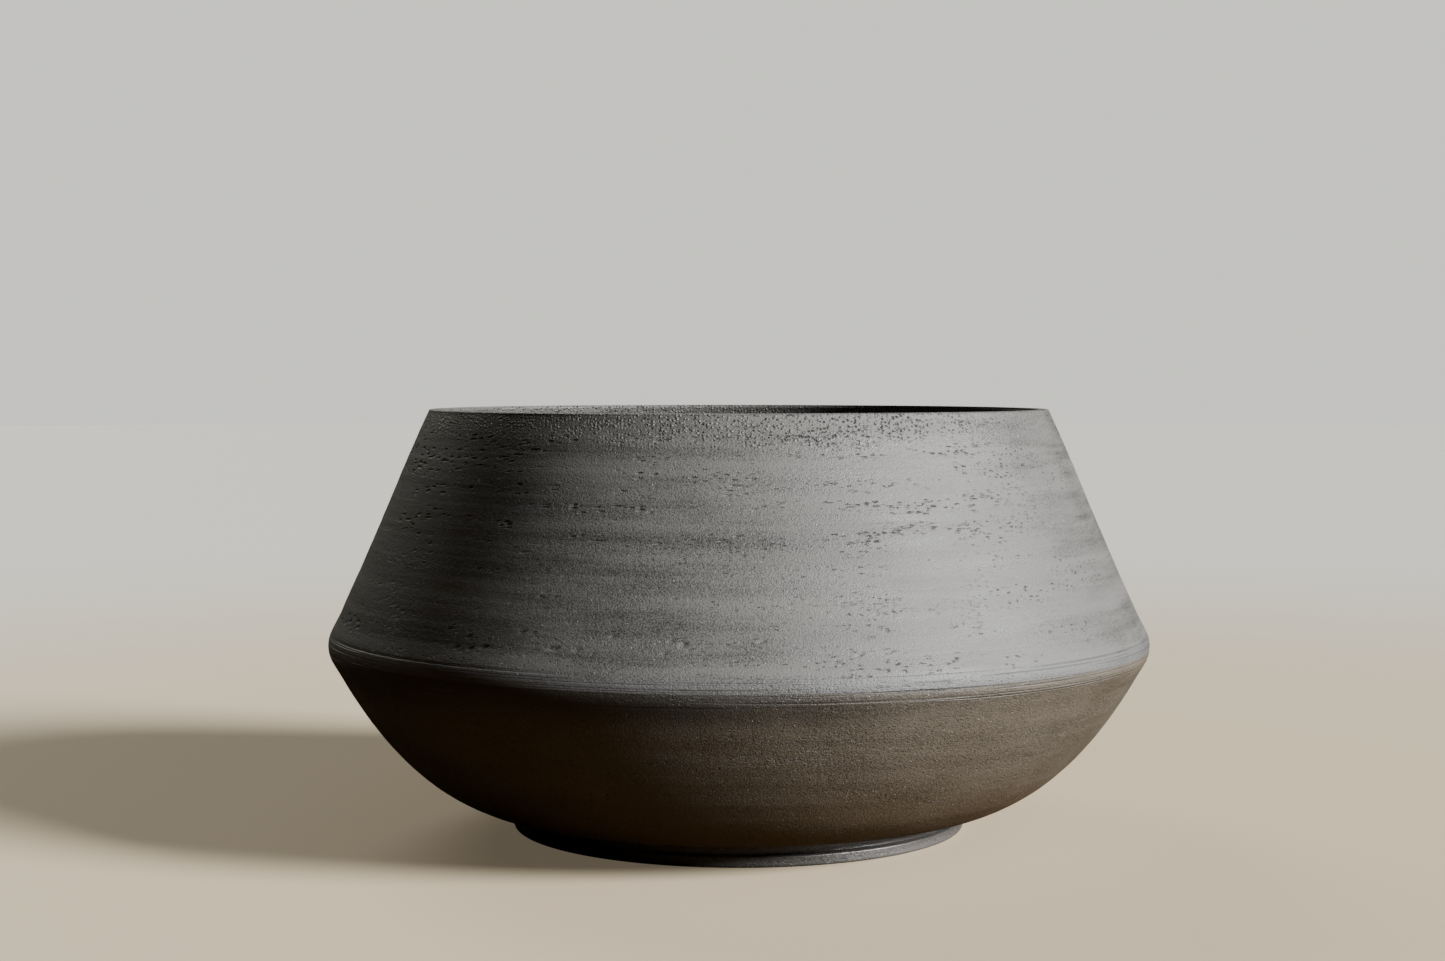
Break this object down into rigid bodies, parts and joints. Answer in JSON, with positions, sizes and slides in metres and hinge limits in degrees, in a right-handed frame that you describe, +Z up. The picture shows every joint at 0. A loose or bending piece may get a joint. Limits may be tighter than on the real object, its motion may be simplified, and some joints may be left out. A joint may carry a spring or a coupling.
{
  "type": "black clay pot",
  "caption": "Wide shouldered black clay pot with a leaning upper wall, open mouth, rounded bowl and low foot ring.",
  "frame": {"origin": "centre of the pot's foot, on the surface it stands on", "axes": "+Z up along the turning axis; +X to the right and -Y towards the viewer, which matter little on a round pot"},
  "size_m": [0.25, 0.25, 0.128],
  "materials": {
    "wall_clay": "matt satin, reduction-fired, unglazed, fine grain with dragged pits",
    "bowl_clay": "matt satin, trimmed, unglazed",
    "band_clay": "satin, rib-smoothed, unglazed",
    "rim_clay": "matt, coarse grained, unglazed",
    "coil_clay": "matt, finger-smoothed, unglazed",
    "foot_clay": "matt, trimmed, unglazed",
    "slip": "dull, dried and fired clay slip"
  },
  "bodies": {
    "root": {"foot_ring": "foot_clay", "foot_slip": "slip", "lower_bowl": "bowl_clay", "keel_slip": "slip", "upper_wall": "wall_clay", "keel_band": "band_clay", "seam_coil": "coil_clay", "rim_slip": "slip", "rim_coil": "rim_clay"}
  },
  "joints": []
}
